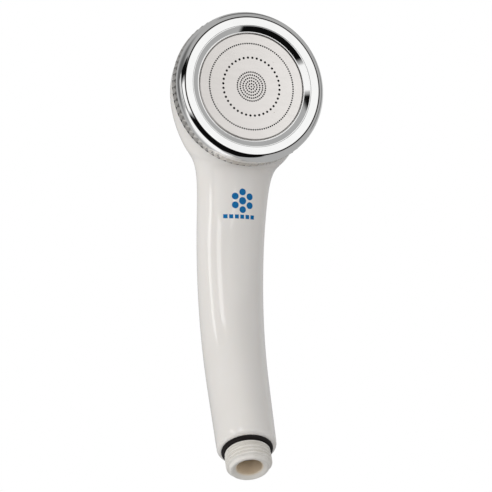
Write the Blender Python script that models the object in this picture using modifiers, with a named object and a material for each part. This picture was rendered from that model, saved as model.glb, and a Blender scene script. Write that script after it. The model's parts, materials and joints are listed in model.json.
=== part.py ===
"""Handheld shower head, standing upright on its hose thread.

Frame: the origin is the centre of the inlet's end face. +Z runs up the inlet axis into the
handle, -Y is the spray side, and the object is symmetric in X. The head's own frame has its
origin at the centre of the spray plate and its +Z along the spray direction.
"""

import math

import bmesh
import bpy
from mathutils import Matrix, Vector

MM = 0.001

# Head: tilt of the spray direction below horizontal, and where the plate's centre lies.
FACE_TILT = math.radians(26.0)
FACE_CENTRE = Vector((0.0, -64.8, 168.5)) * MM

# Body shell.
WALL = 1.8 * MM
RIM_RADIUS = 34.6 * MM
RIM_DEPTH = 7.7 * MM
LIP_HEIGHT = 0.8 * MM
HANDLE_END = 10.8 * MM
STRAIGHT_END = 47.5 * MM
BEND_RADIUS = 173.0 * MM
BEND_ANGLE = math.radians(35.0)
HANDLE_HALF_WIDTHS = (13.5 * MM, 14.4 * MM, 15.6 * MM, 16.9 * MM)
NECK_HALF_DEPTH = 11.0 * MM
BACK_START_PULL = 25.0 * MM
BACK_END_PULL = 115.0 * MM
THROAT_PULL = 2.0 * MM
SIDE_START_PULL = 29.5 * MM
SIDE_END_PULL = 2.5 * MM
HANDLE_STATIONS = 14
HEAD_STATIONS = 15
SHELL_SIDES = 36
NECK_BLEND_PASSES = 3
NECK_BLEND_REACH = (2, 3)

# Face ring, grip band and spray plate, in the head's frame.
PLATE_RADIUS = 30.4 * MM
PLATE_THICKNESS = 0.5 * MM
JET_RING_RADIUS = 13.64 * MM
JET_COUNT = 40
JET_RADIUS = 0.5 * MM
THREAD_RADIUS = 31.2 * MM
COLLAR_BORE = 26.4 * MM
GRIP_BORE = 33.5 * MM
GRIP_BASE = 34.8 * MM
GRIP_DIAMONDS = 72
DIAMOND_HEIGHT = 0.6 * MM

# Waterway.
TUBE_RADIUS = 4.5 * MM
TUBE_WALL = 1.3 * MM
SOCKET_RADIUS = 4.8 * MM
ELBOW_OFFSET = 15.2 * MM
ELBOW_RADIUS = 7.0 * MM
ELBOW_AXIS_DEPTH = 22.9 * MM
BOSS_END = 16.0 * MM

# Inlet: a half-inch male hose thread (G1/2).
THREAD_CREST = 10.48 * MM
THREAD_ROOT = 9.32 * MM
THREAD_PITCH = 1.814 * MM
THREAD_TURNS = 4
INLET_BORE = 6.4 * MM
NIPPLE_PLUG = 11.4 * MM
NIPPLE_TOP = 32.0 * MM

GAP = 0.3 * MM
TURN_STEPS = 36
SMALL_STEPS = 24
NIPPLE_STEPS = 32
MERGE = 0.00001

SPRAY_AXIS = Vector((0.0, -math.cos(FACE_TILT), -math.sin(FACE_TILT)))
FACE_UP = Vector((0.0, -math.sin(FACE_TILT), math.cos(FACE_TILT)))
FACE_TURN = math.radians(90.0) + FACE_TILT


# ---------------------------------------------------------------- scene and helpers

def clear_scene():
    for item in list(bpy.data.objects):
        bpy.data.objects.remove(item, do_unlink=True)


def make_collection(name):
    group = bpy.data.collections.new(name)
    bpy.context.scene.collection.children.link(group)
    return group


def make_material(name, colour, roughness, metallic=0.0):
    material = bpy.data.materials.new(name)
    material.use_nodes = True
    shader = material.node_tree.nodes["Principled BSDF"]
    shader.inputs["Base Color"].default_value = (*colour, 1.0)
    shader.inputs["Roughness"].default_value = roughness
    shader.inputs["Metallic"].default_value = metallic
    return material


def add_object(name, data, material, parent=None, group=None):
    item = bpy.data.objects.new(name, data)
    (group or PARTS).objects.link(item)
    if material:
        data.materials.append(material)
    item.parent = parent
    return item


def add_empty(name, location, rotation=(0.0, 0.0, 0.0), parent=None):
    item = bpy.data.objects.new(name, None)
    item.empty_display_size = 0.01
    item.location = location
    item.rotation_euler = rotation
    item.parent = parent
    PARTS.objects.link(item)
    return item


def smooth(item, angle=35.0):
    item.data.shade_smooth()
    item.data.set_sharp_from_angle(angle=math.radians(angle))


def turned(name, profile, material, parent=None, steps=TURN_STEPS, closed=True, group=None):
    """A turned shape: profile is (radius, height) in millimetres, down the outer side first."""
    mesh = bpy.data.meshes.new(name)
    points = [(radius * MM, 0.0, height * MM) for radius, height in profile]
    last = len(points)
    edges = [(i, (i + 1) % last) for i in range(last if closed else last - 1)]
    mesh.from_pydata(points, edges, [])
    item = add_object(name, mesh, material, parent, group)
    screw = item.modifiers.new("turn", 'SCREW')
    screw.axis = 'Z'
    screw.angle = math.tau
    screw.steps = steps
    screw.render_steps = steps
    screw.use_merge_vertices = True
    screw.merge_threshold = MERGE
    screw.use_smooth_shade = True
    return item


def apply_modifiers(item):
    """Replaces an object's data with its evaluated mesh, and clears its modifiers."""
    bpy.context.view_layer.update()
    depsgraph = bpy.context.evaluated_depsgraph_get()
    mesh = bpy.data.meshes.new_from_object(item.evaluated_get(depsgraph))
    item.modifiers.clear()
    item.data = mesh
    return item


def cutter(name, parent=None):
    """An empty mesh object in the cutters' collection, for shapes that other parts subtract."""
    item = add_object(name, bpy.data.meshes.new(name), None, parent, CUTTERS)
    item.hide_render = True
    item.display_type = 'WIRE'
    return item


def pin_cutter(name, centres, radius, low, high, parent, sides=12):
    """Round pins at (x, y) centres, from low to high along the parent's Z."""
    item = cutter(name, parent)
    bm = bmesh.new()
    for x, y in centres:
        place = Matrix.Translation((x, y, (low + high) / 2.0))
        bmesh.ops.create_cone(bm, cap_ends=True, segments=sides, radius1=radius, radius2=radius,
                              depth=high - low, matrix=place)
    bm.to_mesh(item.data)
    bm.free()
    return item


def combine(item, other, operation):
    boolean = item.modifiers.new(operation.lower(), 'BOOLEAN')
    boolean.operation = operation
    boolean.solver = 'EXACT'
    boolean.object = other


def ring_of_points(count, radius):
    angles = [math.tau * i / count for i in range(count)]
    return [(radius * math.cos(a), radius * math.sin(a)) for a in angles]


def o_ring(name, centre_radius, cord_radius, height, parent=None, steps=TURN_STEPS, sides=10):
    """A rubber ring: a round cord section turned about the parent's Z."""
    profile = []
    for i in range(sides):
        a = math.tau * (i + 0.5) / sides
        radius = centre_radius + cord_radius * math.sin(a)
        profile.append((radius / MM, (height + cord_radius * math.cos(a)) / MM))
    return turned(name, profile, RUBBER, parent, steps)


def hermite(start, start_pull, end, end_pull, t):
    """A cubic from start to end whose end slopes are the two pulls."""
    a = 2.0 * t ** 3 - 3.0 * t ** 2 + 1.0
    b = t ** 3 - 2.0 * t ** 2 + t
    c = -2.0 * t ** 3 + 3.0 * t ** 2
    d = t ** 3 - t ** 2
    return start * a + start_pull * b + end * c + end_pull * d


def on_face(up, depth):
    """A point in the plane of symmetry: up the face from its centre, and depth behind the plate."""
    return FACE_CENTRE + FACE_UP * up - SPRAY_AXIS * depth


# ---------------------------------------------------------------- body shell

def handle_station(t):
    """Centre, heading and half width of the handle; t runs 0 to 1 from the inlet to the neck."""
    straight = STRAIGHT_END - HANDLE_END
    along = t * (straight + BEND_RADIUS * BEND_ANGLE)
    turn = max(0.0, (along - straight) / BEND_RADIUS)
    rise = HANDLE_END + min(along, straight) + BEND_RADIUS * math.sin(turn)
    centre = Vector((0.0, -BEND_RADIUS * (1.0 - math.cos(turn)), rise))
    heading = Vector((0.0, -math.sin(turn), math.cos(turn)))
    width = 0.0
    knots = [i / 3.0 for i in range(4)]
    for i, value in enumerate(HANDLE_HALF_WIDTHS):
        weight = 1.0
        for j in range(4):
            if j != i:
                weight *= (t - knots[j]) / (knots[i] - knots[j])
        width += weight * value
    return centre, heading, width


def body_sections(handle_stations, head_stations):
    """Front point, back point and half width of each section, from the inlet to the rim.

    Each section is an ellipse. Up the handle it is square to the handle; in the head the
    sections fan out about the throat until they are round, and a short straight lip ends them.
    """
    sections = []
    for i in range(handle_stations + 1):
        t = i / handle_stations
        centre, heading, width = handle_station(t)
        ease = t * t * (3.0 - 2.0 * t)
        depth = width * (1.0 - ease * (1.0 - NECK_HALF_DEPTH / HANDLE_HALF_WIDTHS[3]))
        back = Vector((0.0, heading.z, -heading.y)) * depth
        sections.append((centre - back, centre + back, width))
    front, back, width = sections[-1]
    heading = handle_station(1.0)[1]
    rim = on_face(0.0, RIM_DEPTH + LIP_HEIGHT)
    for i in range(1, head_stations + 1):
        t = i / head_stations
        throat = hermite(front, heading * THROAT_PULL, rim - FACE_UP * RIM_RADIUS, FACE_UP * THROAT_PULL, t)
        dome = hermite(back, heading * BACK_START_PULL, rim + FACE_UP * RIM_RADIUS,
                       SPRAY_AXIS * BACK_END_PULL, t)
        side = hermite(width, SIDE_START_PULL, RIM_RADIUS, SIDE_END_PULL, t)
        sections.append((throat, dome, side))
    for _ in range(NECK_BLEND_PASSES):
        sections = blend_neck(sections, handle_stations)
    lip = SPRAY_AXIS * LIP_HEIGHT
    sections.append((throat + lip, dome + lip, side))
    return sections


def blend_neck(sections, neck):
    """Averages the sections about the neck with their neighbours, so the handle flares smoothly."""
    blended = list(sections)
    for i in range(neck - NECK_BLEND_REACH[0], neck + NECK_BLEND_REACH[1] + 1):
        trio = zip(sections[i - 1], sections[i], sections[i + 1])
        blended[i] = tuple((low + middle * 2.0 + high) / 4.0 for low, middle, high in trio)
    return blended


def build_body_shell():
    """The one-piece handle and head cup: an open skin, thickened inwards."""
    bm = bmesh.new()
    rings = []
    for front, back, width in body_sections(HANDLE_STATIONS, HEAD_STATIONS):
        centre = (front + back) / 2.0
        reach = (back - front) / 2.0
        ring = []
        for i in range(SHELL_SIDES):
            a = math.tau * i / SHELL_SIDES
            point = centre + reach * math.cos(a) + Vector((width * math.sin(a), 0.0, 0.0))
            ring.append(bm.verts.new(point))
        rings.append(ring)
    for lower, upper in zip(rings, rings[1:]):
        for i in range(SHELL_SIDES):
            j = (i + 1) % SHELL_SIDES
            bm.faces.new((lower[j], lower[i], upper[i], upper[j]))
    mesh = bpy.data.meshes.new("body_shell")
    bm.to_mesh(mesh)
    bm.free()
    item = add_object("body_shell", mesh, WHITE)
    solid = item.modifiers.new("wall", 'SOLIDIFY')
    solid.thickness = WALL
    solid.offset = -1.0
    solid.use_even_offset = True
    smooth(item)
    return item


# ---------------------------------------------------------------- head

def build_chamber_cup(face):
    """Water chamber welded in the head's mouth, with the collar that the face ring screws on."""
    floor_back, floor_front, post_top = -12.5, -10.7, -6.7
    collar, bore = THREAD_RADIUS / MM, COLLAR_BORE / MM
    profile = [(0.0, -10.6), (1.5, -10.6), (1.5, post_top), (3.2, post_top), (3.2, floor_front),
               (bore, floor_front), (bore, -2.4),
               (collar - 0.5, -2.4), (collar, -2.9), (collar, -8.0), (32.4, -8.0), (32.4, -9.0),
               (30.0, floor_back), (0.0, floor_back)]
    cup = turned("chamber_cup", profile, BLACK, face, closed=False)
    boss = turned("boss", [(0.0, -11.5), (8.4, -11.5), (8.4, -BOSS_END / MM), (0.0, -BOSS_END / MM)],
                  None, face, SMALL_STEPS, False, CUTTERS)
    socket_radius = SOCKET_RADIUS / MM
    socket = turned("socket", [(0.0, -9.0), (3.2, -9.0), (3.2, -12.6), (socket_radius, -12.6),
                               (socket_radius, -14.1), (6.6, -14.1), (6.6, -17.0), (0.0, -17.0)],
                    None, face, SMALL_STEPS, False, CUTTERS)
    for guide in (boss, socket):
        guide.location = (0.0, -ELBOW_OFFSET, 0.0)
        guide.hide_render = True
        guide.display_type = 'WIRE'
    combine(cup, boss, 'UNION')
    combine(cup, socket, 'DIFFERENCE')


def build_distributor(face):
    """Slotted disc that spreads the water behind the plate, with its edge seal, screw and washer."""
    edge = COLLAR_BORE / MM - 0.4
    profile = [(1.8, -4.5), (edge, -4.5), (edge, -4.9), (24.6, -4.9), (24.6, -6.1), (edge, -6.1),
               (edge, -6.4), (1.8, -6.4)]
    disc = turned("distributor_disc", profile, BLACK, face)
    ports = ring_of_points(12, 19.0 * MM) + ring_of_points(6, 9.5 * MM)
    combine(disc, pin_cutter("ports", ports, 1.8 * MM, -8.0 * MM, -3.0 * MM, face, 8), 'DIFFERENCE')
    o_ring("distributor_seal", 25.35 * MM, 0.42 * MM, -5.5 * MM, face, TURN_STEPS, 6)
    turned("screw_washer", [(3.6, -3.8), (3.6, -4.2), (1.8, -4.2), (1.8, -3.8)], STEEL, face, SMALL_STEPS)
    screw = turned("centre_screw", [(0.0, -1.8), (2.0, -1.8), (2.7, -2.3), (2.9, -3.5), (1.2, -3.5),
                                    (1.2, -9.8), (0.7, -10.3), (0.0, -10.3)], STEEL, face, SMALL_STEPS, False)
    for name, size in (("slot_across", (3.0, 0.7, 2.4)), ("slot_up", (0.7, 3.0, 2.4))):
        slot = cutter(name, face)
        bm = bmesh.new()
        made = bmesh.ops.create_cube(bm, size=MM)
        bmesh.ops.scale(bm, vec=size, verts=made["verts"])
        bmesh.ops.translate(bm, vec=(0.0, 0.0, -1.6 * MM), verts=made["verts"])
        bm.to_mesh(slot.data)
        bm.free()
        combine(screw, slot, 'DIFFERENCE')


def build_spray_insert(insert):
    """The stainless spray plate and the rubber gasket behind it, which leave with the face ring."""
    turned("plate_gasket", [(PLATE_RADIUS / MM, -0.8), (PLATE_RADIUS / MM, -2.1), (26.6, -2.1), (26.6, -0.8)],
           RUBBER, insert)
    radius, back = PLATE_RADIUS / MM, -PLATE_THICKNESS / MM
    plate = turned("spray_plate", [(0.0, 0.0), (radius, 0.0), (radius, back), (0.0, back)],
                   STEEL, insert, 54, False)
    jets = pin_cutter("jets", ring_of_points(JET_COUNT, JET_RING_RADIUS), JET_RADIUS,
                      -2.0 * MM, 2.0 * MM, insert, 6)
    combine(plate, jets, 'DIFFERENCE')


def build_face_ring(ring):
    """The chromed ring that clamps the plate, and the faceted band that the fingers grip."""
    thread = THREAD_RADIUS / MM + GAP / MM
    profile = [(25.9, 0.47), (28.3, 1.6), (30.5, 1.95), (32.4, 2.1), (33.9, 1.45), (34.9, 0.5),
               (35.4, -0.7), (35.45, -3.4), (33.2, -3.4), (33.2, -7.4), (thread, -7.4), (thread, -0.9),
               (30.8, -0.7), (30.8, 0.3), (25.5, 0.3)]
    turned("face_ring", profile, CHROME, ring, 54)
    bore, base = GRIP_BORE / MM, GRIP_BASE / MM
    band = turned("grip_ring", [(base, -3.7), (base, -7.4), (bore, -7.4), (bore, -3.7)],
                  CHROME, ring, GRIP_DIAMONDS)
    apply_modifiers(band)
    bm = bmesh.new()
    bm.from_mesh(band.data)
    outer = [f for f in bm.faces if f.calc_center_median().xy.length > GRIP_BASE - 0.2 * MM
             and abs(f.normal.z) < 0.1]
    bmesh.ops.poke(bm, faces=outer, offset=DIAMOND_HEIGHT)
    bm.to_mesh(band.data)
    bm.free()
    smooth(band, 5.0)


# ---------------------------------------------------------------- waterway

def tube_along(name, points, material, parent=None):
    """A hollow tube: a bevelled curve left open at its ends, thickened inwards."""
    curve = bpy.data.curves.new(name, 'CURVE')
    curve.dimensions = '3D'
    curve.bevel_depth = TUBE_RADIUS
    curve.bevel_resolution = 4
    curve.use_fill_caps = False
    spline = curve.splines.new('POLY')
    spline.points.add(len(points) - 1)
    for target, point in zip(spline.points, points):
        target.co = (*point, 1.0)
    item = add_object(name, curve, material, parent)
    solid = item.modifiers.new("wall", 'SOLIDIFY')
    solid.thickness = TUBE_WALL
    solid.offset = -1.0
    return item


def coupler_place():
    """Centre and heading of the push-fit coupler, just below the neck."""
    centre, heading, _ = handle_station(0.94)
    return centre, heading


def build_water_tube():
    """Liner tube up the handle's centreline, from the nipple's socket into the coupler."""
    points = [Vector((0.0, 0.0, 22.4 * MM))]
    steps = 13
    start = 0.12
    for i in range(steps + 1):
        points.append(handle_station(start + (0.935 - start) * i / steps)[0])
    tube_along("water_tube", points, TUBE_PLASTIC)


def build_elbow():
    """Rigid elbow from the coupler, round into the chamber's boss."""
    centre, heading = coupler_place()
    start = centre + heading * 0.5 * MM
    turn_start = on_face(-ELBOW_OFFSET - ELBOW_RADIUS, ELBOW_AXIS_DEPTH)
    hub = on_face(-ELBOW_OFFSET - ELBOW_RADIUS, ELBOW_AXIS_DEPTH - ELBOW_RADIUS)
    points = [start, start + heading * 9.0 * MM]
    lead = points[-1]
    for i in range(1, 5):
        t = i / 5.0
        points.append(hermite(lead, heading * 9.0 * MM, turn_start, FACE_UP * 9.0 * MM, t))
    steps = 8
    for i in range(steps + 1):
        a = math.radians(90.0) * i / steps
        points.append(hub + FACE_UP * ELBOW_RADIUS * math.sin(a) - SPRAY_AXIS * ELBOW_RADIUS * math.cos(a))
    points.append(on_face(-ELBOW_OFFSET, 12.9 * MM))
    tube_along("elbow_pipe", points, GREY)


def build_coupler(face):
    """Sleeve that joins the liner tube to the elbow, with an O-ring at each mouth."""
    centre, heading = coupler_place()
    axis = add_empty("coupler_axis", centre, (math.atan2(-heading.y, heading.z), 0.0, 0.0))
    socket = SOCKET_RADIUS / MM
    profile = [(6.2, 8.0), (7.4, 7.4), (7.4, -7.4), (6.2, -8.0), (socket, -8.0), (socket, -5.6),
               (6.5, -5.6), (6.5, -3.8), (socket, -3.8), (socket, 3.8), (6.5, 3.8), (6.5, 5.6),
               (socket, 5.6), (socket, 8.0)]
    turned("tube_coupler", profile, GREY, axis, SMALL_STEPS)
    o_ring("coupler_o_ring_upper", 5.62 * MM, 0.75 * MM, 4.7 * MM, axis, SMALL_STEPS, 6)
    o_ring("coupler_o_ring_lower", 5.62 * MM, 0.75 * MM, -4.7 * MM, axis, SMALL_STEPS, 6)
    seal = o_ring("elbow_o_ring", 5.62 * MM, 0.75 * MM, -15.1 * MM, face, SMALL_STEPS, 6)
    seal.location = (0.0, -ELBOW_OFFSET, 0.0)


# ---------------------------------------------------------------- inlet

def build_inlet():
    """The threaded nipple in the handle's end, its seals, and the flow regulator and screen inside."""
    crest, root, pitch = THREAD_CREST / MM, THREAD_ROOT / MM, THREAD_PITCH / MM
    plug, bore, top = NIPPLE_PLUG / MM, INLET_BORE / MM, NIPPLE_TOP / MM
    socket = SOCKET_RADIUS / MM
    profile = [(8.6, top), (plug - 0.8, top), (plug, top - 0.8), (plug, 11.9), (9.0, 11.9), (9.0, 8.9)]
    for turn in range(THREAD_TURNS):
        middle = 7.9 - pitch * turn
        profile += [(crest, middle + 0.3), (crest, middle - 0.3), (root, middle - pitch / 2.0)]
    profile += [(9.1, 0.0), (bore, 0.0), (bore, 17.4), (3.2, 17.4), (3.2, 22.0), (socket, 22.0),
                (socket, 29.9), (6.6, 29.9), (6.6, top)]
    turned("inlet_nipple", profile, WHITE, steps=NIPPLE_STEPS)
    o_ring("inlet_o_ring", 10.4 * MM, 1.05 * MM, 10.3 * MM, None, TURN_STEPS, 10)
    o_ring("nipple_o_ring", 5.62 * MM, 0.75 * MM, 31.0 * MM, None, SMALL_STEPS, 6)

    frame = [(6.1, 11.9), (6.1, 9.8), (4.2, 9.8), (4.2, 10.5), (4.9, 10.5), (4.9, 11.9)]
    turned("screen_frame", frame, GREY, steps=SMALL_STEPS)
    mesh = [(0.0, 11.3), (4.6, 11.3), (4.6, 10.9), (0.0, 10.9)]
    screen = turned("inlet_screen", mesh, STEEL, None, SMALL_STEPS, False)
    openings = [(0.0, 0.0)] + ring_of_points(8, 2.8 * MM)
    holes = pin_cutter("screen_holes", openings, 0.8 * MM, 9.0 * MM, 13.0 * MM, None, 6)
    combine(screen, holes, 'DIFFERENCE')

    body = [(0.0, 17.0), (6.1, 17.0), (6.1, 12.3), (5.1, 12.3), (5.1, 15.8), (2.0, 15.8), (2.0, 12.7),
            (0.0, 12.7)]
    regulator = turned("flow_regulator_body", body, BLUE, None, SMALL_STEPS, False)
    ports = pin_cutter("regulator_ports", ring_of_points(6, 3.1 * MM), 0.8 * MM,
                       15.0 * MM, 18.0 * MM, None, 8)
    combine(regulator, ports, 'DIFFERENCE')
    o_ring("flow_regulator_ring", 3.3 * MM, 0.9 * MM, 14.5 * MM, None, SMALL_STEPS, 6)


# ---------------------------------------------------------------- assembly

clear_scene()
PARTS = make_collection("handheld_shower_head")
CUTTERS = make_collection("cutters")

WHITE = make_material("white_abs", (0.82, 0.80, 0.78), 0.18)
CHROME = make_material("chrome", (0.90, 0.90, 0.90), 0.05, 1.0)
STEEL = make_material("stainless_steel", (0.74, 0.72, 0.70), 0.32, 1.0)
RUBBER = make_material("black_rubber", (0.02, 0.02, 0.02), 0.55)
BLACK = make_material("black_abs", (0.03, 0.03, 0.03), 0.42)
GREY = make_material("grey_pom", (0.45, 0.46, 0.47), 0.40)
TUBE_PLASTIC = make_material("natural_polyethylene", (0.80, 0.80, 0.76), 0.45)
BLUE = make_material("blue_pom", (0.05, 0.20, 0.50), 0.40)

FACE = add_empty("face_axis", FACE_CENTRE, (FACE_TURN, 0.0, 0.0))
INSERT = add_empty("insert_slide", (0.0, 0.0, 0.0), parent=FACE)
RING = add_empty("ring_turn", (0.0, 0.0, 0.0), parent=INSERT)

build_body_shell()
build_chamber_cup(FACE)
build_distributor(FACE)
build_spray_insert(INSERT)
build_face_ring(RING)
build_water_tube()
build_elbow()
build_coupler(FACE)
build_inlet()
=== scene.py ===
"""Looks for the handheld shower head: fine surfaces, materials, studio light and camera.

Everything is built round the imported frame. The origin is the centre of the inlet's end face,
+Z runs up the inlet axis and -Y is the spray side. The head has its own frame, FACE, with its
origin at the centre of the spray plate, +Y up the face and +Z along the spray. Profiles are
lists of (radius, height, fillet) corners in millimetres, about Z or about the spray axis.
"""

import json
import math

import bmesh
import bpy
from mathutils import Matrix, Quaternion, Vector
from mathutils.bvhtree import BVHTree


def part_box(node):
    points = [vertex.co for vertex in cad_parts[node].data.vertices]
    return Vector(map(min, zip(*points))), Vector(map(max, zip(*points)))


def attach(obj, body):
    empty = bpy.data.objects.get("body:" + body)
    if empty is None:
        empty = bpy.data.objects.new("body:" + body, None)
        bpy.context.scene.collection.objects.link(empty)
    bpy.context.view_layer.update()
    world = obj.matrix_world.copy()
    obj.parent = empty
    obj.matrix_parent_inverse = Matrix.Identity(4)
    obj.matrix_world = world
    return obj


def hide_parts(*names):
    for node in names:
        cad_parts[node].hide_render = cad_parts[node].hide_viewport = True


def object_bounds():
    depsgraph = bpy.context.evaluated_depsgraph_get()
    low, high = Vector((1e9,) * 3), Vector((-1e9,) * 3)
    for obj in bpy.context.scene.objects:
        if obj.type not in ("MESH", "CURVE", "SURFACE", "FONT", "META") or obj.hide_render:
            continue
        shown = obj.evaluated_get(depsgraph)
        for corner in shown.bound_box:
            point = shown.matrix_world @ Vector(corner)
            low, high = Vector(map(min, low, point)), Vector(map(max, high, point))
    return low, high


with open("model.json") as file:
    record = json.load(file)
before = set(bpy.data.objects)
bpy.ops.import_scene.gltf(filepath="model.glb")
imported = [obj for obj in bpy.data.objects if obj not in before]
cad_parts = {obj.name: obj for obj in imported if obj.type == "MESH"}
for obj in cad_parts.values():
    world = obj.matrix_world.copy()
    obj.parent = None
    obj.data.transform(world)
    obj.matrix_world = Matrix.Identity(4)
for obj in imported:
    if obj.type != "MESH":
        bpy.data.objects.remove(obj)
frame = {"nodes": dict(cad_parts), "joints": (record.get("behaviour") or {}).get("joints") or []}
CAD_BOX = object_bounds()

MM = 0.001
X_AXIS = Vector((1.0, 0.0, 0.0))


def half_width(node):
    low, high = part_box(node)
    return (high.x - low.x) / 2.0


# ---------------------------------------------------------------- sizes, from the frame

HINGE = next(joint for joint in frame["joints"] if joint["type"] == "hinge")
SPRAY_AXIS = Vector(HINGE["axis"]).normalized()
FACE_UP = SPRAY_AXIS.cross(X_AXIS)
FACE_CENTRE = Vector(HINGE["pos_m"])
FACE = Matrix((X_AXIS, FACE_UP, SPRAY_AXIS)).transposed().to_4x4()
FACE.translation = FACE_CENTRE

RING_RADIUS = half_width("face_ring")
PLATE_RADIUS = half_width("spray_plate")
COLLAR_BASE = half_width("chamber_cup")
PLUG_RADIUS = half_width("inlet_nipple")
NIPPLE_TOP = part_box("inlet_nipple")[1].z
HANDLE_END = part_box("body_shell")[0].z

# Body shell: the same loft as the solid, with more sections and more sides.
WALL = 1.8 * MM
RIM_RADIUS = 34.6 * MM
RIM_DEPTH = 7.7 * MM
LIP_HEIGHT = 0.8 * MM
STRAIGHT_END = 47.5 * MM
BEND_RADIUS = 173.0 * MM
BEND_ANGLE = math.radians(35.0)
HANDLE_LENGTH = STRAIGHT_END - HANDLE_END + BEND_RADIUS * BEND_ANGLE
HANDLE_HALF_WIDTHS = (13.5 * MM, 14.4 * MM, 15.6 * MM, 16.9 * MM)
NECK_HALF_DEPTH = 11.0 * MM
BACK_START_PULL = 25.0 * MM
BACK_END_PULL = 115.0 * MM
THROAT_PULL = 2.0 * MM
SIDE_START_PULL = 29.5 * MM
SIDE_END_PULL = 2.5 * MM
HANDLE_STATIONS = 14
HEAD_STATIONS = 15
NECK_BLEND_PASSES = 3
NECK_BLEND_REACH = (2, 3)  # sections below and above the neck
FINE_STEPS = 5
SHELL_SIDES = 144
ROUNDING_STEPS = 8
SHOULDER = 2.0 * MM
EDGE_ROUND = 0.35 * MM

# Head.
RING_STEPS = 240
COLLAR_STEPS = 192
THREAD_RADIUS = 31.15 * MM
THREAD_DEPTH = 0.6 * MM
THREAD_PLAY = 0.35 * MM
RING_PITCH = 3.0 * MM
DIAMONDS = 72
FLAT_RADIUS = 24.3 * MM
PLATE_RISE = 0.5 * MM
PLATE_THICKNESS = 0.5 * MM
PLATE_STEPS = 160

# Jets: the radius of each ring in millimetres with its number of holes, and the holes' radii.
FINE_JET_RINGS = ((0.0, 1), (1.37, 8), (2.70, 16), (4.08, 24), (5.45, 33), (6.83, 42), (20.27, 118))
FINE_JET = 0.41 * MM
WIDE_JET_RING = (13.64, 40)
WIDE_JET = 0.56 * MM

# Inlet.
INLET_CREST = 10.48 * MM
INLET_ROOT = 9.45 * MM
INLET_PITCH = 1.814 * MM
INLET_BORE = 6.4 * MM
INLET_STEPS = 160
SEAL_RADIUS = 10.5 * MM
SEAL_CORD = 1.2 * MM
SEAL_HEIGHT = 10.35 * MM
SEAL_STEPS = 128


# ---------------------------------------------------------------- mesh helpers

def add_mesh(name, bm, material, place=Matrix.Identity(4), sharp=30.0):
    """Turns a bmesh into an object, with its faces pointing out and its sharp edges marked."""
    bmesh.ops.recalc_face_normals(bm, faces=bm.faces)
    mesh = bpy.data.meshes.new(name)
    bm.to_mesh(mesh)
    bm.free()
    mesh.shade_smooth()
    mesh.set_sharp_from_angle(angle=math.radians(sharp))
    mesh.materials.append(material)
    item = bpy.data.objects.new(name, mesh)
    bpy.context.scene.collection.objects.link(item)
    item.matrix_world = place
    return item


def loft(name, rings, material, place=Matrix.Identity(4), sharp=30.0):
    """A closed surface through a loop of rings; a ring of one point closes an end."""
    bm = bmesh.new()
    rows = [[bm.verts.new(point) for point in ring] for ring in rings]
    pairs = list(zip(rows, rows[1:]))
    if len(rows[0]) > 1:
        pairs.append((rows[-1], rows[0]))
    for lower, upper in pairs:
        count = max(len(lower), len(upper))
        for i in range(count):
            j = (i + 1) % count
            corners = [lower[j % len(lower)], lower[i % len(lower)]]
            corners += [upper[i % len(upper)], upper[j % len(upper)]]
            bm.faces.new(list(dict.fromkeys(corners)))
    return add_mesh(name, bm, material, place, sharp)


def circle(radius, height, steps):
    """A ring of points about Z; radius is a number or a function of the angle."""
    if radius == 0.0:
        return [(0.0, 0.0, height)]
    points = []
    for i in range(steps):
        a = math.tau * i / steps
        r = radius(a) if callable(radius) else radius
        points.append((r * math.cos(a), r * math.sin(a), height))
    return points


def filleted(corners, closed=False, steps=5):
    """(radius, height) points in metres from (radius, height, fillet) corners in millimetres."""
    count = len(corners)
    points = []
    for i, (radius, height, fillet) in enumerate(corners):
        here = Vector((radius, height))
        if fillet == 0.0 or (not closed and i in (0, count - 1)):
            points.append(here * MM)
            continue
        before = Vector(corners[i - 1][:2]) - here
        after = Vector(corners[(i + 1) % count][:2]) - here
        start = here + before.normalized() * min(fillet, before.length * 0.49)
        end = here + after.normalized() * min(fillet, after.length * 0.49)
        for k in range(steps + 1):
            t = k / steps
            point = start * (1.0 - t) ** 2 + here * 2.0 * t * (1.0 - t) + end * t * t
            points.append(point * MM)
    return points


def o_ring(name, centre_radius, cord_radius, height, material, sides=24):
    rings = []
    for i in range(sides):
        a = math.tau * i / sides
        radius = centre_radius + cord_radius * math.sin(a)
        rings.append(circle(radius, height + cord_radius * math.cos(a), SEAL_STEPS))
    return loft(name, rings, material)


def thread_wave(phase):
    """Height of a worn thread, 0 at the root and 1 at the crest, for a phase in turns."""
    ramp = 1.0 - abs(2.0 * (phase % 1.0) - 1.0)
    t = min(1.0, max(0.0, ramp * 1.5 - 0.25))
    return t * t * (3.0 - 2.0 * t)


def threaded_rings(root, crest, pitch, top, bottom, fade, steps, rows_per_turn):
    """Rings down a helical thread, which fades out over a short run at both ends."""
    count = round((top - bottom) / pitch * rows_per_turn)
    rings = []
    for row in range(count + 1):
        height = top + (bottom - top) * row / count
        lift = min(1.0, (top - height) / fade, (height - bottom) / fade)

        def radius(angle, height=height, lift=lift):
            wave = thread_wave(height / pitch - angle / math.tau)
            return root + (crest - root) * wave * max(0.0, lift)

        rings.append(circle(radius, height, steps))
    return rings


def hermite(start, start_pull, end, end_pull, t):
    """A cubic from start to end whose end slopes are the two pulls."""
    a = 2.0 * t ** 3 - 3.0 * t ** 2 + 1.0
    b = t ** 3 - 2.0 * t ** 2 + t
    c = -2.0 * t ** 3 + 3.0 * t ** 2
    d = t ** 3 - t ** 2
    return start * a + start_pull * b + end * c + end_pull * d


# ---------------------------------------------------------------- body shell

def handle_half_width(t):
    """The cubic through the four half widths, which are evenly spaced along the handle."""
    knots = [i / 3.0 for i in range(4)]
    width = 0.0
    for i, value in enumerate(HANDLE_HALF_WIDTHS):
        weight = 1.0
        for j in range(4):
            if j != i:
                weight *= (t - knots[j]) / (knots[i] - knots[j])
        width += weight * value
    return width


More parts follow.
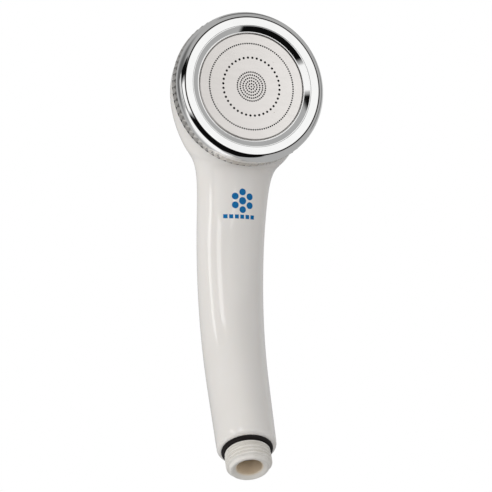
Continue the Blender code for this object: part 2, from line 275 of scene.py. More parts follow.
def handle_station(t):
    """Centre, heading and half width of the handle; t runs 0 to 1 from the inlet to the neck."""
    straight = STRAIGHT_END - HANDLE_END
    along = t * HANDLE_LENGTH
    turn = max(0.0, (along - straight) / BEND_RADIUS)
    rise = HANDLE_END + min(along, straight) + BEND_RADIUS * math.sin(turn)
    centre = Vector((0.0, -BEND_RADIUS * (1.0 - math.cos(turn)), rise))
    heading = Vector((0.0, -math.sin(turn), math.cos(turn)))
    return centre, heading, handle_half_width(t)


def handle_section(t, inset=0.0):
    """Front point, back point and half width of the handle's section at t."""
    centre, heading, width = handle_station(t)
    ease = t * t * (3.0 - 2.0 * t)
    depth = width * (1.0 - ease * (1.0 - NECK_HALF_DEPTH / HANDLE_HALF_WIDTHS[-1]))
    back = Vector((0.0, heading.z, -heading.y)) * (depth - inset)
    return centre - back, centre + back, width - inset


def body_sections():
    """Front point, back point and half width of each section, from the inlet to the head's rim."""
    sections = [handle_section(i / HANDLE_STATIONS) for i in range(HANDLE_STATIONS + 1)]
    front, back, width = sections[-1]
    heading = handle_station(1.0)[1]
    rim = FACE_CENTRE - SPRAY_AXIS * (RIM_DEPTH + LIP_HEIGHT)
    rim_front = rim - FACE_UP * RIM_RADIUS
    rim_back = rim + FACE_UP * RIM_RADIUS
    for i in range(1, HEAD_STATIONS + 1):
        t = i / HEAD_STATIONS
        throat = hermite(front, heading * THROAT_PULL, rim_front, FACE_UP * THROAT_PULL, t)
        dome = hermite(back, heading * BACK_START_PULL, rim_back, SPRAY_AXIS * BACK_END_PULL, t)
        side = hermite(width, SIDE_START_PULL, RIM_RADIUS, SIDE_END_PULL, t)
        sections.append((throat, dome, side))
    for _ in range(NECK_BLEND_PASSES):
        sections = blend_neck(sections)
    return sections


def blend_neck(sections):
    """Averages the sections about the neck with their neighbours, so the handle flares smoothly."""
    blended = list(sections)
    below, above = NECK_BLEND_REACH
    for i in range(HANDLE_STATIONS - below, HANDLE_STATIONS + above + 1):
        trio = zip(sections[i - 1], sections[i], sections[i + 1])
        blended[i] = tuple((low + middle * 2.0 + high) / 4.0 for low, middle, high in trio)
    return blended


def smooth_sections(sections, steps):
    """A cubic B-spline along the sections, whose first and last spans are straight."""
    fine = [sections[0]]
    for i in range(len(sections) - 1):
        quad = [sections[max(0, min(len(sections) - 1, i + k))] for k in (-1, 0, 1, 2)]
        for step in range(1, steps + 1):
            t = step / steps
            weights = ((1.0 - t) ** 3 / 6.0, (3.0 * t ** 3 - 6.0 * t * t + 4.0) / 6.0,
                       (3.0 * (t - t ** 3 + t * t) + 1.0) / 6.0, t ** 3 / 6.0)
            if i in (0, len(sections) - 2):
                weights = (0.0, 1.0 - t, t, 0.0)
            # A section is two points and a number, so each sum starts from a zero of its own kind.
            mixed = []
            for k in range(3):
                terms = (section[k] * weight for section, weight in zip(quad, weights))
                mixed.append(sum(terms, quad[0][k] * 0.0))
            fine.append(tuple(mixed))
    return fine


def section_ring(section, inset=0.0):
    """The ellipse through a section's front and back points, or one inside it."""
    front, back, width = section
    centre = (front + back) / 2.0
    reach = (back - front) / 2.0
    reach -= reach.normalized() * inset
    ring = []
    for i in range(SHELL_SIDES):
        a = math.tau * i / SHELL_SIDES
        ring.append(centre + reach * math.cos(a) + X_AXIS * ((width - inset) * math.sin(a)))
    return ring


def build_body(material):
    """The one-piece handle and head cup, with a rounded handle end and a soft rim."""
    fine = smooth_sections(body_sections(), FINE_STEPS)
    outer = []
    for i in range(ROUNDING_STEPS):
        a = math.radians(90.0) * i / ROUNDING_STEPS
        rise = SHOULDER * (1.0 - math.cos(a))
        outer.append(section_ring(handle_section(rise / HANDLE_LENGTH), SHOULDER * (1.0 - math.sin(a))))
    next_height = handle_section(SHOULDER / HANDLE_LENGTH)[0].z + 0.3 * MM
    outer += [section_ring(section) for section in fine if section[0].z > next_height]
    front, back, width = fine[-1]
    for i in range(ROUNDING_STEPS + 1):
        a = math.radians(90.0) * i / ROUNDING_STEPS
        rise = SPRAY_AXIS * (LIP_HEIGHT - EDGE_ROUND * (1.0 - math.sin(a)))
        outer.append(section_ring((front + rise, back + rise, width), EDGE_ROUND * (1.0 - math.cos(a))))
    lip = SPRAY_AXIS * LIP_HEIGHT
    inner = [section_ring((front + lip, back + lip, width), WALL)]
    # The inside is hidden, so it has every second section only.
    inner += [section_ring(section, WALL) for section in reversed(fine[::2])]
    return loft("body_skin", outer + inner, material, sharp=50.0)


# ---------------------------------------------------------------- head

def build_face_ring(material):
    """The chromed ring: a cone up from the plate, a bead, a rolled rim and the skirt inside the band."""
    outside = RING_RADIUS / MM
    thread = (THREAD_RADIUS + THREAD_PLAY) / MM
    cone = [(25.48, 0.30, 0.0), (25.48, 0.50, 0.12), (25.80, 0.42, 0.10), (28.20, 1.56, 0.06)]
    bead = [(28.62, 1.65, 0.05), (30.50, 1.99, 1.3), (32.40, 2.12, 0.14)]
    rim = [(33.95, 1.43, 0.8), (35.0, 0.45, 0.7), (outside - 0.02, -0.75, 0.7), (outside, -2.60, 0.12)]
    skirt = [(33.2, -2.70, 0.1), (33.2, -7.35, 0.1), (thread, -7.35, 0.2), (thread, -0.9, 0.3)]
    back = [(30.8, -0.7, 0.1), (30.8, 0.3, 0.1)]
    profile = filleted(cone + bead + rim + skirt + back, closed=True)
    return loft("ring_chrome", [circle(r, h, RING_STEPS) for r, h in profile], material, FACE)


def build_grip_band(material, facet_shade_paint):
    """A flared band of cut-gem cells: eight facets that rise to a point, and corners between cells. Each
    cell's foot facet gets painted shade.
    """
    waist, flare, bore, peak = 35.22 * MM, 0.32 * MM, 33.5 * MM, 35.80 * MM
    top, bottom = -2.75 * MM, -7.65 * MM
    middle, half = (top + bottom) / 2.0, (top - bottom) / 2.0
    # Places in a cell run from -1 to 1 each way, and the gem's corners are cut off at this place.
    cut = 0.54
    outline = ((-1, -cut), (-1, cut), (-cut, 1), (cut, 1), (1, cut), (1, -cut), (cut, -1), (-cut, -1))
    corners = ((-1, -1), (-1, 1), (1, 1), (1, -1))
    facets = len(outline)
    painted_shade_facet = 6  # the one away from the spray, coloured with painted shade
    bm = bmesh.new()

    def point(cell, u, v, radius=None):
        a = math.tau / DIAMONDS * (cell + u / 2.0)
        r = waist - flare * v if radius is None else radius
        return bm.verts.new((r * math.cos(a), r * math.sin(a), middle + half * v))

    for cell in range(DIAMONDS):
        ring = [point(cell, u, v) for u, v in outline]
        tip = point(cell, 0, 0, peak)
        for i in range(facets):
            facet = bm.faces.new((ring[i], ring[(i + 1) % facets], tip))
            facet.material_index = int(i == painted_shade_facet)
        for i, (u, v) in enumerate(corners):
            bm.faces.new((ring[(2 * i - 1) % facets], point(cell, u, v), ring[2 * i]))
        for low, high in ((-1, -cut), (-cut, cut), (cut, 1)):
            for side in (-1, 1):
                bm.faces.new((point(cell, low, side), point(cell, high, side),
                              point(cell, high, side, bore), point(cell, low, side, bore)))
            inner = ((low, -1), (high, -1), (high, 1), (low, 1))
            bm.faces.new([point(cell, u, v, bore) for u, v in inner])
    bmesh.ops.remove_doubles(bm, verts=bm.verts, dist=0.01 * MM)
    band = add_mesh("grip_band", bm, material, FACE, sharp=4.0)
    band.data.materials.append(facet_shade_paint)
    return band


def perforated_disc():
    """The plate's flat face as a bmesh: a disc of its thickness, punched with all of its jets."""
    curve = bpy.data.curves.new("plate_outline", 'CURVE')
    curve.dimensions = '2D'
    curve.fill_mode = 'BOTH'
    curve.extrude = PLATE_THICKNESS / 2.0

    def add_circle(x, y, radius, sides):
        spline = curve.splines.new('POLY')
        spline.points.add(sides - 1)
        for i, target in enumerate(spline.points):
            a = math.tau * (i + 0.5) / sides
            target.co = (x + radius * math.cos(a), y + radius * math.sin(a), 0.0, 1.0)
        spline.use_cyclic_u = True

    add_circle(0.0, 0.0, FLAT_RADIUS, PLATE_STEPS)
    jets = [(ring * MM, count, FINE_JET, 8) for ring, count in FINE_JET_RINGS]
    jets.append((WIDE_JET_RING[0] * MM, WIDE_JET_RING[1], WIDE_JET, 12))
    for ring, count, radius, sides in jets:
        for i in range(count):
            a = math.tau * i / count
            add_circle(ring * math.cos(a), ring * math.sin(a), radius, sides)
    outline = bpy.data.objects.new("plate_outline", curve)
    bpy.context.scene.collection.objects.link(outline)
    bpy.context.view_layer.update()
    bm = bmesh.new()
    bm.from_mesh(outline.evaluated_get(bpy.context.evaluated_depsgraph_get()).to_mesh())
    bpy.data.objects.remove(outline)
    bmesh.ops.remove_doubles(bm, verts=bm.verts, dist=0.005 * MM)
    return bm


def build_spray_plate(material, shade_paint):
    """The steel plate: its punched flat face, and a rolled edge down to its flange. The jets' walls, the back
    and the flange carry painted shade.
    """
    bm = perforated_disc()
    rim = {vert for vert in bm.verts if vert.co.xy.length > FLAT_RADIUS - 0.01 * MM}
    walls = []
    for face in bm.faces:
        if rim.issuperset(face.verts) and len({vert.co.z > 0.0 for vert in face.verts}) > 1:
            walls.append(face)
    bmesh.ops.delete(bm, geom=walls, context='FACES')
    around = sorted(rim, key=lambda vert: math.atan2(vert.co.y, vert.co.x))
    top = [vert for vert in around if vert.co.z > 0.0]
    bottom = [vert for vert in around if vert.co.z < 0.0]
    flange = PLATE_RADIUS / MM
    flat = FLAT_RADIUS / MM
    edge = [(flat, 0.25, 0.0), (flat + 0.42, 0.25, 0.3), (flat + 0.85, -0.27, 0.2),
            (flat + 1.12, -0.27, 0.0), (flange, -0.27, 0.1), (flange, -0.75, 0.1),
            (flat + 0.6, -0.75, 0.1), (flat + 0.2, -0.25, 0.2), (flat, -0.25, 0.0)]
    rows = [top]
    for radius, height in filleted(edge)[1:-1]:
        rows.append([bm.verts.new((*(vert.co.xy * (radius / FLAT_RADIUS)), height)) for vert in top])
    rows.append(bottom)
    for upper, lower in zip(rows, rows[1:]):
        for i in range(len(top)):
            bm.faces.new((upper[i - 1], upper[i], lower[i], lower[i - 1]))
    place = FACE @ Matrix.Translation((0.0, 0.0, PLATE_RISE - PLATE_THICKNESS / 2.0))
    plate = add_mesh("plate_steel", bm, material, place)
    plate.data.materials.append(shade_paint)
    # Painted shade: the jets' walls, the plate's back and its flange beyond the roll get the dark material.
    for face in plate.data.polygons:
        out = face.center.xy.length - FLAT_RADIUS
        shaded_jet_wall = out < -0.1 * MM and abs(face.normal.z) < 0.5
        shaded_underside = face.center.z < -PLATE_THICKNESS / 2.0 + 0.01 * MM and face.normal.z < 0.0
        shaded_flange = out > 1.1 * MM
        face.material_index = int(shaded_jet_wall or shaded_underside or shaded_flange)
    return plate


def build_collar(material):
    """The chamber cup in the head's mouth, with the helical thread that the ring screws on."""
    root = THREAD_RADIUS - THREAD_DEPTH
    neck = root / MM
    base = COLLAR_BASE / MM
    inside = [(0.0, -6.7, 0.0), (3.2, -6.7, 0.2), (3.2, -10.7, 0.5), (26.4, -10.7, 0.8),
              (26.4, -2.4, 0.3), (neck, -2.4, 0.4), (neck, -3.0, 0.0)]
    outside = [(neck, -8.0, 0.1), (base, -8.0, 0.2), (base, -9.0, 0.3), (30.0, -12.5, 0.6), (0.0, -12.5, 0.0)]
    rings = [circle(r, h, COLLAR_STEPS) for r, h in filleted(inside)]
    rings += threaded_rings(root, THREAD_RADIUS, RING_PITCH, top=-3.05 * MM, bottom=-7.9 * MM,
                            fade=0.6 * MM, steps=COLLAR_STEPS, rows_per_turn=14)
    rings += [circle(r, h, COLLAR_STEPS) for r, h in filleted(outside)]
    return loft("collar_threaded", rings, material, FACE)


# ---------------------------------------------------------------- inlet

def build_nipple(material):
    """The threaded nipple: socket, groove for the seal, worn half-inch thread, end and bore."""
    top, plug, bore = NIPPLE_TOP / MM, PLUG_RADIUS / MM, INLET_BORE / MM
    root = INLET_ROOT / MM
    socket = [(6.6, top, 0.2), (8.6, top, 0.2), (plug - 0.8, top, 0.3), (plug, top - 0.8, 0.3)]
    groove = [(plug, 11.9, 0.2), (9.0, 11.9, 0.2), (9.0, 8.95, 0.1), (10.3, 8.95, 0.25), (10.3, 8.35, 0.25)]
    to_thread = [(root, 8.1, 0.0), (root, 8.0, 0.0)]
    end = [(root - 0.1, 1.3, 0.0), (8.7, 0.0, 0.5), (bore + 1.3, 0.0, 0.3)]
    mouth = [(5.8, 1.3, 0.3), (5.7, 3.0, 0.3), (5.7, 8.6, 0.3), (bore, 9.0, 0.2)]
    way_up = [(bore, 17.4, 0.3), (3.2, 17.4, 0.2), (3.2, 22.0, 0.2), (4.8, 22.0, 0.2), (4.8, 29.9, 0.2)]
    to_socket = [(6.6, 29.9, 0.2), (6.6, 30.5, 0.0)]
    above = filleted(socket + groove + to_thread)[:-1]
    below = filleted(end + mouth + way_up + to_socket)
    rings = [circle(r, h, INLET_STEPS) for r, h in above]
    rings += threaded_rings(INLET_ROOT, INLET_CREST, INLET_PITCH, top=8.05 * MM, bottom=1.35 * MM,
                            fade=0.55 * MM, steps=INLET_STEPS, rows_per_turn=12)
    rings += [circle(r, h, INLET_STEPS) for r, h in below]
    return loft("nipple_threaded", rings, material)


# ---------------------------------------------------------------- print

def build_print(body, material):
    """A plain rosette of dots over a row of squares, laid on the handle's front as a thin film."""
    mesh = body.data
    tree = BVHTree.FromPolygons([v.co for v in mesh.vertices], [p.vertices for p in mesh.polygons])
    centre = Vector((1.5, -32.9, 127.1)) * MM
    across = Vector((0.996, 0.02, 0.08)).normalized()
    facing = Vector((0.06, -0.875, -0.48))
    facing = (facing - across * facing.dot(across)).normalized()
    up = facing.cross(across)
    film = 0.03 * MM
    # Places and sizes in the print are in millimetres.
    dots, dot_ring, dot_radius, middle_dot_radius, dot_sides = 6, 4.1, 1.6, 1.75, 24
    squares, square_pitch, half_side = 6, 2.6, 0.95
    row_middle, row_height = -1.6, -7.4
    bm = bmesh.new()

    def patch(x, y, outline):
        verts = []
        for u, v in [(0.0, 0.0)] + outline:
            start = centre + (across * (x + u) + up * (y + v)) * MM + facing * 10.0 * MM
            place, normal, _, _ = tree.ray_cast(start, -facing)
            verts.append(bm.verts.new(place + normal * film))
        for i in range(len(outline)):
            bm.faces.new((verts[0], verts[1 + i], verts[1 + (i + 1) % len(outline)]))

    def disc(radius):
        angles = [math.tau * i / dot_sides for i in range(dot_sides)]
        return [(radius * math.cos(a), radius * math.sin(a)) for a in angles]

    patch(0.0, 0.0, disc(middle_dot_radius))
    for i in range(dots):
        a = math.tau * (i + 0.5) / dots
        patch(dot_ring * math.cos(a), dot_ring * math.sin(a), disc(dot_radius))
    square = [(x * half_side, y * half_side) for x, y in ((-1, -1), (1, -1), (1, 1), (-1, 1))]
    for i in range(squares):
        patch(row_middle + (i - (squares - 1) / 2.0) * square_pitch, row_height, square)
    return add_mesh("print_rosette", bm, material, sharp=60.0)


# ---------------------------------------------------------------- materials

def math_node(tree, operation, *values):
    node = tree.nodes.new("ShaderNodeMath")
    node.operation = operation
    for socket, value in zip(node.inputs, values):
        if isinstance(value, float):
            socket.default_value = value
        else:
            tree.links.new(value, socket)
    return node.outputs["Value"]


def map_range(tree, value, low, high, out_low, out_high, interpolation='LINEAR'):
    node = tree.nodes.new("ShaderNodeMapRange")
    node.interpolation_type = interpolation
    for key, number in (("From Min", low), ("From Max", high), ("To Min", out_low), ("To Max", out_high)):
        node.inputs[key].default_value = number
    tree.links.new(value, node.inputs["Value"])
    return node.outputs["Result"]


# The values that most of a noise texture falls between.
NOISE_SPAN = (0.35, 0.65)


class Look:
    """A Principled material whose colour, roughness and relief come from object-space noise."""

    def __init__(self, name, roughness, metallic=0.0):
        self.material = bpy.data.materials.new(name)
        self.material.use_nodes = True
        self.tree = self.material.node_tree
        self.shader = self.tree.nodes["Principled BSDF"]
        self.shader.inputs["Roughness"].default_value = roughness
        self.shader.inputs["Metallic"].default_value = metallic
        self.place = self.node("ShaderNodeTexCoord").outputs["Object"]

    def node(self, kind, **settings):
        made = self.tree.nodes.new(kind)
        for key, value in settings.items():
            setattr(made, key, value)
        return made

    def link(self, source, target):
        self.tree.links.new(source, target)

    def noise(self, scale, detail=2.0, stretch=(1.0, 1.0, 1.0)):
        mapping = self.node("ShaderNodeMapping")
        mapping.inputs["Scale"].default_value = stretch
        self.link(self.place, mapping.inputs["Vector"])
        texture = self.node("ShaderNodeTexNoise")
        texture.inputs["Scale"].default_value = scale
        texture.inputs["Detail"].default_value = detail
        self.link(mapping.outputs["Vector"], texture.inputs["Vector"])
        return texture.outputs["Fac"]

    def math(self, operation, *values):
        return math_node(self.tree, operation, *values)

    def radius(self):
        """Distance from the object's own Z axis."""
        flat = self.node("ShaderNodeVectorMath", operation='MULTIPLY')
        flat.inputs[1].default_value = (1.0, 1.0, 0.0)
        self.link(self.place, flat.inputs[0])
        length = self.node("ShaderNodeVectorMath", operation='LENGTH')
        self.link(flat.outputs["Vector"], length.inputs[0])
        return length.outputs["Value"]

    def ranged(self, value, low, high, out_low, out_high):
        return map_range(self.tree, value, low, high, out_low, out_high)

    def cloud(self, scale, detail=2.0):
        """Noise spread over the whole range from 0 to 1."""
        return self.ranged(self.noise(scale, detail), *NOISE_SPAN, 0.0, 1.0)

    def mixed(self, factor, first, second):
        node = self.node("ShaderNodeMix", data_type='RGBA')
        self.link(factor, node.inputs["Factor"])
        for socket, colour in ((node.inputs["A"], first), (node.inputs["B"], second)):
            if isinstance(colour, tuple):
                socket.default_value = (*colour, 1.0)
            else:
                self.link(colour, socket)
        return node.outputs["Result"]

    def colour(self, source):
        self.link(source, self.shader.inputs["Base Color"])

    def rough(self, source, low, high):
        self.link(self.ranged(source, *NOISE_SPAN, low, high), self.shader.inputs["Roughness"])

    def bump(self, height, distance):
        node = self.node("ShaderNodeBump")
        node.inputs["Strength"].default_value = 1.0
        node.inputs["Distance"].default_value = distance
        self.link(height, node.inputs["Height"])
        self.link(node.outputs["Normal"], self.shader.inputs["Normal"])


def plastic(name, first, second, rough, grain=900.0, relief=0.01 * MM):
    """Moulded plastic: a faint cloudy tint, uneven gloss and a very fine orange peel."""
    look = Look(name, sum(rough) / 2.0)
    look.colour(look.mixed(look.cloud(45.0, 3.0), first, second))
    look.rough(look.noise(160.0, 3.0), *rough)
    look.bump(look.noise(grain, 2.0), relief)
    return look


def white_gloss():
    """The body's glossy moulding, with a little light let into it."""
    look = plastic("white_gloss", (0.80, 0.782, 0.755), (0.815, 0.797, 0.775), (0.06, 0.10),
                   grain=520.0, relief=0.002 * MM)
    look.shader.inputs["Subsurface Weight"].default_value = 0.05
    look.shader.inputs["Subsurface Radius"].default_value = (2.0 * MM, 1.5 * MM, 1.0 * MM)
    return look.material


def nipple_plastic():
    """White plastic, matt on the thread, with painted warm shade towards the bore."""
    look = Look("nipple_plastic", 0.38)
    # Painted shade: inside the bore the plastic is tinted a darker warm tan.
    inside = look.ranged(look.radius(), INLET_BORE - 0.7 * MM, INLET_BORE + 0.2 * MM, 1.0, 0.0)
    cloud = look.cloud(180.0, 3.0)
    outer = look.mixed(cloud, (0.80, 0.785, 0.75), (0.76, 0.74, 0.70))
    bore = look.mixed(cloud, (0.78, 0.66, 0.50), (0.70, 0.58, 0.43))
    look.colour(look.mixed(inside, outer, bore))
    look.rough(look.noise(260.0, 3.0), 0.30, 0.46)
    look.bump(look.noise(900.0, 3.0), 0.015 * MM)
    return look.material


# Radii of the ring's creases, where a thin dark line of painted shade lies on the plating, and half the
# lines' widths.
CREASE_SHADE_LINES = ((28.62 * MM, 0.08 * MM), (32.44 * MM, 0.30 * MM))
# The colour of the painted shade in the creases.
CREASE_SHADE_TONE = (0.020, 0.016, 0.014)


def polished_chrome(name, shade_lines, first=(0.90, 0.90, 0.895), second=(0.94, 0.94, 0.935)):
    """Mirror-bright plating, faintly wavy, with painted shade in its creases."""
    look = Look(name, 0.04, 1.0)
    tone = look.mixed(look.cloud(70.0), first, second)
    radius = look.radius()
    # Each crease gets a ring of painted shade on the plating's colour.
    for middle, half in shade_lines:
        off = look.math('ABSOLUTE', look.math('SUBTRACT', radius, middle))
        tone = look.mixed(look.ranged(off, half * 0.8, half * 1.2, 1.0, 0.0), tone, CREASE_SHADE_TONE)
    look.colour(tone)
    look.rough(look.noise(220.0, 4.0), 0.02, 0.06)
    look.bump(look.noise(60.0, 1.0), 0.006 * MM)
    return look.material


def satin_steel():
    """Rolled steel sheet with painted light, brighter towards +X, with a fine lengthwise grain and a few dark
    specks.
    """
    look = Look("satin_steel", 0.30, 1.0)
    grain = look.noise(900.0, 2.0, (0.15, 1.0, 1.0))
    cell = look.node("ShaderNodeTexVoronoi")
    cell.inputs["Scale"].default_value = 420.0
    look.link(look.place, cell.inputs["Vector"])
    speck = look.ranged(cell.outputs["Distance"], 0.06, 0.13, 1.0, 0.0)
    patches = look.ranged(look.noise(330.0, 1.0), 0.66, 0.70, 0.0, 1.0)
    both = look.math('MULTIPLY', speck, patches)
    split = look.node("ShaderNodeSeparateXYZ")
    look.link(look.place, split.inputs["Vector"])
    # Painted light: the plate is made lighter towards +X and darker towards -X.
    side = look.ranged(split.outputs["X"], -22.0 * MM, 22.0 * MM, 0.0, 1.0)
    base = look.mixed(side, (0.735, 0.705, 0.68), (0.87, 0.84, 0.815))
    base = look.mixed(look.ranged(grain, 0.3, 0.7, 0.0, 0.04), base, (0.5, 0.48, 0.46))
    look.colour(look.mixed(both, base, (0.42, 0.38, 0.34)))
    look.rough(grain, 0.29, 0.32)
    look.bump(grain, 0.0003 * MM)
    return look.material


def painted_shade_steel():
    """Near-black steel that paints shade: on the jets' walls, the plate's back and flange, the screw, and the
    gems' shaded facets.
    """
    look = Look("painted_shade_steel", 0.55, 0.6)
    look.colour(look.mixed(look.noise(900.0), (0.012, 0.010, 0.010), (0.020, 0.017, 0.016)))
    look.rough(look.noise(700.0, 2.0), 0.45, 0.65)
    return look.material


def rubber():
    """Matt black seal rubber."""
    look = plastic("seal_rubber", (0.008, 0.006, 0.006), (0.014, 0.011, 0.011), (0.50, 0.64),
                   grain=1400.0, relief=0.02 * MM)
    look.shader.inputs["Specular IOR Level"].default_value = 0.2
    return look.material


def turned_steel():
    """Bright machined steel."""
    look = Look("turned_steel", 0.25, 1.0)
    look.colour(look.mixed(look.cloud(400.0), (0.62, 0.61, 0.60), (0.72, 0.71, 0.70)))
    look.rough(look.noise(700.0, 2.0), 0.20, 0.34)
    look.bump(look.noise(1500.0, 2.0), 0.005 * MM)
    return look.material


def print_ink():
    """Blue ink, which shines less than the plastic under it."""
    look = Look("print_ink", 0.30)
    look.colour(look.mixed(look.cloud(900.0), (0.0, 0.135, 0.37), (0.0, 0.16, 0.42)))
    look.shader.inputs["Specular IOR Level"].default_value = 0.15
    look.rough(look.noise(700.0, 2.0), 0.22, 0.34)
    look.bump(look.noise(2500.0, 2.0), 0.004 * MM)
    return look.material


# ---------------------------------------------------------------- studio

# Screens round the studio, for the chrome to mirror. Each has its azimuth and half width, its
# elevation and half height and its softness, all in degrees, and then its brightness. Later
# screens stand in front of earlier ones.
SCREENS = (
    (-85.0, 46.0, 18.0, 24.0, 14.0, 0.14),
    (-125.0, 62.0, -52.0, 27.0, 5.0, 1.0),
    (-155.0, 20.0, -22.0, 12.0, 5.0, 0.75),
    (118.0, 20.0, 24.0, 14.0, 8.0, 0.70),
    (35.0, 50.0, 66.0, 9.0, 5.0, 0.12),
    (79.0, 3.5, 10.0, 24.0, 2.5, 0.10),
    (-7.0, 53.0, -58.0, 23.0, 2.0, 0.004),
    (19.0, 29.0, -7.0, 23.5, 2.0, 1.0),
    (-39.0, 14.0, -0.3, 6.8, 1.5, 0.004),
    (-22.0, 22.0, -21.0, 11.0, 1.5, 1.0),
    (-12.0, 0.9, -21.0, 11.0, 0.6, 0.02),
    (-21.0, 0.9, -21.0, 11.0, 0.6, 0.02),
    (-52.0, 3.0, -18.0, 15.0, 1.5, 0.01),
    (-60.0, 4.0, -10.0, 16.0, 1.5, 0.9),
    (-67.0, 2.5, -10.0, 16.0, 1.5, 0.02),
    (-74.0, 4.0, -9.0, 16.0, 2.0, 0.8),
)
ROOM_BRIGHTNESS = 0.42

# Strip lamps, for the streaks on the handle: the azimuth and elevation of both ends and the half
# width, all in degrees, and then the brightness.
STRIPS = (
    ((-57.0, -12.0), (-73.0, 28.0), 4.5, 3.2),
    ((-29.0, -13.0), (-36.0, 24.0), 6.0, 3.0),
    ((9.0, -20.0), (0.0, -11.0), 2.2, 2.6),
)
LAMP_DISTANCE = 1.6
STUDIO_CENTRE = (CAD_BOX[0] + CAD_BOX[1]) / 2.0
FLOOR_LEVEL = -1.35


def direction(azimuth, elevation):
    a, e = math.radians(azimuth), math.radians(elevation)
    return Vector((math.sin(a) * math.cos(e), -math.cos(a) * math.cos(e), math.sin(e)))


def soft_step(tree, value, edge, soft):
    """1 below the edge and 0 above it, with a soft change between."""
    return map_range(tree, value, edge - soft, edge + soft, 1.0, 0.0, 'SMOOTHSTEP')


def build_world():
    """A grey room with white and black screens for the chrome to mirror. The camera sees plain white."""
    world = bpy.data.worlds.new("studio")
    bpy.context.scene.world = world
    world.use_nodes = True
    tree = world.node_tree
    tree.nodes.clear()
    way = tree.nodes.new("ShaderNodeTexCoord").outputs["Generated"]
    split = tree.nodes.new("ShaderNodeSeparateXYZ")
    tree.links.new(way, split.inputs["Vector"])
    backwards = math_node(tree, 'MULTIPLY', split.outputs["Y"], -1.0)
    azimuth = math_node(tree, 'DEGREES', math_node(tree, 'ARCTAN2', split.outputs["X"], backwards))
    elevation = math_node(tree, 'DEGREES', math_node(tree, 'ARCSINE', split.outputs["Z"]))
    light = None
    for centre, half_wide, middle, half_high, soft, brightness in SCREENS:
        turn = math_node(tree, 'WRAP', math_node(tree, 'SUBTRACT', azimuth, centre), 180.0, -180.0)
        across = soft_step(tree, math_node(tree, 'ABSOLUTE', turn), half_wide, soft)
        climb = math_node(tree, 'ABSOLUTE', math_node(tree, 'SUBTRACT', elevation, middle))
        along = soft_step(tree, climb, half_high, soft)
        mix = tree.nodes.new("ShaderNodeMix")
        mix.data_type = 'FLOAT'
        tree.links.new(math_node(tree, 'MULTIPLY', across, along), mix.inputs["Factor"])
        mix.inputs["A"].default_value = ROOM_BRIGHTNESS
        if light is not None:
            tree.links.new(light, mix.inputs["A"])
        mix.inputs["B"].default_value = brightness
        light = mix.outputs["Result"]

    room = tree.nodes.new("ShaderNodeBackground")
    tree.links.new(light, room.inputs["Color"])
    white = tree.nodes.new("ShaderNodeBackground")
    white.inputs["Color"].default_value = (1.0, 1.0, 1.0, 1.0)
    rays = tree.nodes.new("ShaderNodeLightPath")
    choice = tree.nodes.new("ShaderNodeMixShader")
    output = tree.nodes.new("ShaderNodeOutputWorld")
    tree.links.new(rays.outputs["Is Camera Ray"], choice.inputs["Fac"])
    tree.links.new(room.outputs["Background"], choice.inputs[1])
    tree.links.new(white.outputs["Background"], choice.inputs[2])
    tree.links.new(choice.outputs["Shader"], output.inputs["Surface"])


def soft_light(name, azimuth, elevation, size, energy, colour):
    """A large area lamp aimed at the object. It lights surfaces, and mirrors don't show it."""
    data = bpy.data.lights.new(name, 'AREA')
    data.shape = 'DISK'
    data.size = size
    data.energy = energy
    data.color = colour
    lamp = bpy.data.objects.new(name, data)
    bpy.context.scene.collection.objects.link(lamp)
    way = direction(azimuth, elevation)
    lamp.location = STUDIO_CENTRE + way * LAMP_DISTANCE
    lamp.rotation_mode = 'QUATERNION'
    lamp.rotation_quaternion = way.to_track_quat('Z', 'Y')
    lamp.visible_glossy = False


def strip_lamp(name, low, high, half, brightness, receivers):
    """A long narrow lamp that only leaves its shine on the receivers."""
    start, end = direction(*low), direction(*high)
    way = (start + end).normalized()
    along = (end - start).normalized()
    data = bpy.data.lights.new(name, 'AREA')
    data.shape = 'RECTANGLE'
    data.size = LAMP_DISTANCE * 2.0 * math.tan(math.radians(half))
    data.size_y = LAMP_DISTANCE * (end - start).length
    data.energy = brightness * math.pi * data.size * data.size_y
    lamp = bpy.data.objects.new(name, data)
    bpy.context.scene.collection.objects.link(lamp)
    turn = Matrix((along.cross(way), along, way)).transposed().to_4x4()
    turn.translation = STUDIO_CENTRE + way * LAMP_DISTANCE
    lamp.matrix_world = turn
    lamp.visible_diffuse = False
    lamp.light_linking.receiver_collection = receivers


def build_floor():
    """A pale floor well below the object, which hangs in the air on its mount."""
    bm = bmesh.new()
    bmesh.ops.create_grid(bm, x_segments=1, y_segments=1, size=6.0)
    look = Look("floor_paint", 0.8)
    look.colour(look.mixed(look.noise(3.0), (0.86, 0.86, 0.86), (0.88, 0.88, 0.88)))
    look.shader.inputs["Emission Color"].default_value = (1.0, 1.0, 1.0, 1.0)
    look.shader.inputs["Emission Strength"].default_value = 0.45
    floor = add_mesh("floor", bm, look.material, Matrix.Translation((0.0, 0.0, FLOOR_LEVEL)))
    floor.visible_diffuse = False
    floor.visible_glossy = False


def build_camera():
    """A long lens below and in front of the object, to its left, looking up at the face."""
    azimuth, elevation, roll = -22.99, -36.63, math.radians(-8.22)
    distance = 2.0
    aim = Vector((-0.0098, -0.0553, 0.0826))
    data = bpy.data.cameras.new("camera")
    data.sensor_width = 36.0
    data.lens = 326.9
    data.clip_start, data.clip_end = 0.05, 50.0
    camera = bpy.data.objects.new("camera", data)
    bpy.context.scene.collection.objects.link(camera)
    way = direction(azimuth, elevation)
    camera.location = aim + way * distance
    camera.rotation_mode = 'QUATERNION'
    camera.rotation_quaternion = way.to_track_quat('Z', 'Y') @ Quaternion((0.0, 0.0, 1.0), roll)
    bpy.context.scene.camera = camera


# ---------------------------------------------------------------- assembly

def settle(piece, body, slot, *nodes):
    """Puts a new piece on its body, and hides the solids that it stands for. The slot is not used."""
    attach(piece, body)
    if nodes:
        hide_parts(*nodes)


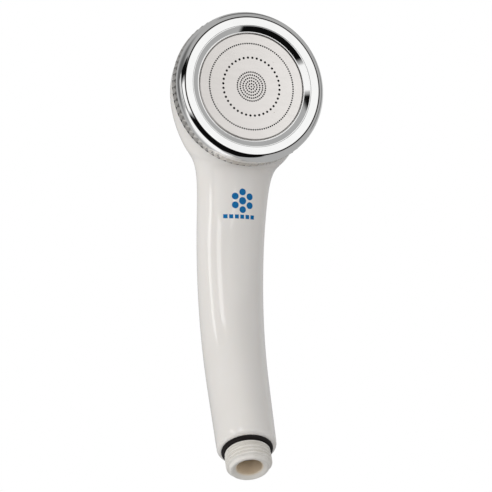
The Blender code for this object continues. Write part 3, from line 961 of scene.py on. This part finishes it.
build_camera()
build_world()
soft_light("key", azimuth=-80.0, elevation=8.0, size=1.2, energy=14.0, colour=(1.0, 0.985, 0.965))
soft_light("fill", azimuth=-10.0, elevation=-35.0, size=1.2, energy=5.9, colour=(1.0, 0.955, 0.92))
build_floor()
bpy.context.scene.view_settings.view_transform = 'Standard'

WHITE = white_gloss()
NIPPLE = nipple_plastic()
CHROME = polished_chrome("polished_chrome", CREASE_SHADE_LINES)
# The band's chrome is a darker copy of the ring's chrome: painted shade.
SHADED_GEM_CHROME = polished_chrome("gem_chrome_painted_shade", (), (0.62, 0.60, 0.57), (0.70, 0.68, 0.65))
STEEL = satin_steel()
PAINTED_SHADE = painted_shade_steel()
RUBBER = rubber()
BRIGHT_STEEL = turned_steel()
# Black, so that the cup and the distributor show as painted shade through the jets.
BLACK_JET_SHADE = plastic("black_abs", (0.012, 0.012, 0.013), (0.022, 0.022, 0.023), (0.36, 0.48)).material
GREY = plastic("grey_acetal", (0.36, 0.37, 0.38), (0.42, 0.43, 0.44), (0.34, 0.46)).material
TUBE = plastic("tube_polyethylene", (0.74, 0.74, 0.68), (0.80, 0.80, 0.75), (0.38, 0.50)).material
BLUE = plastic("blue_acetal", (0.02, 0.10, 0.36), (0.03, 0.14, 0.44), (0.30, 0.42)).material
INK = print_ink()

body = build_body(WHITE)
shining = bpy.data.collections.new("shining")
shining.objects.link(body)
for number, strip in enumerate(STRIPS):
    strip_lamp(f"strip_{number}", *strip, shining)
rosette = build_print(body, INK)
rosette.visible_glossy = False
settle(rosette, "handle_assembly", "blue_pom")
settle(body, "handle_assembly", "white_abs", "body_shell")
settle(build_collar(BLACK_JET_SHADE), "handle_assembly", "black_abs", "chamber_cup")
settle(build_nipple(NIPPLE), "handle_assembly", "white_abs", "inlet_nipple")
seal = o_ring("inlet_seal", SEAL_RADIUS, SEAL_CORD, SEAL_HEIGHT, RUBBER)
settle(seal, "handle_assembly", "black_rubber", "inlet_o_ring")
settle(build_spray_plate(STEEL, PAINTED_SHADE), "spray_insert", "stainless_steel", "spray_plate")
settle(build_face_ring(CHROME), "screw_ring", "chrome", "face_ring")
settle(build_grip_band(SHADED_GEM_CHROME, PAINTED_SHADE), "screw_ring", "chrome", "grip_ring")

CAD_LOOKS = {
    RUBBER: ("elbow_o_ring", "coupler_o_ring_upper", "coupler_o_ring_lower", "nipple_o_ring",
             "flow_regulator_ring", "distributor_seal", "plate_gasket"),
    BLACK_JET_SHADE: ("distributor_disc",),
    GREY: ("elbow_pipe", "tube_coupler", "screen_frame"),
    TUBE: ("water_tube",),
    BLUE: ("flow_regulator_body",),
    # The screw and its washer, seen through the centre jets, get painted shade.
    PAINTED_SHADE: ("centre_screw", "screw_washer"),
    BRIGHT_STEEL: ("inlet_screen",),
}
for material, names in CAD_LOOKS.items():
    for name in names:
        for holder in frame["nodes"][name].material_slots:
            holder.material = material
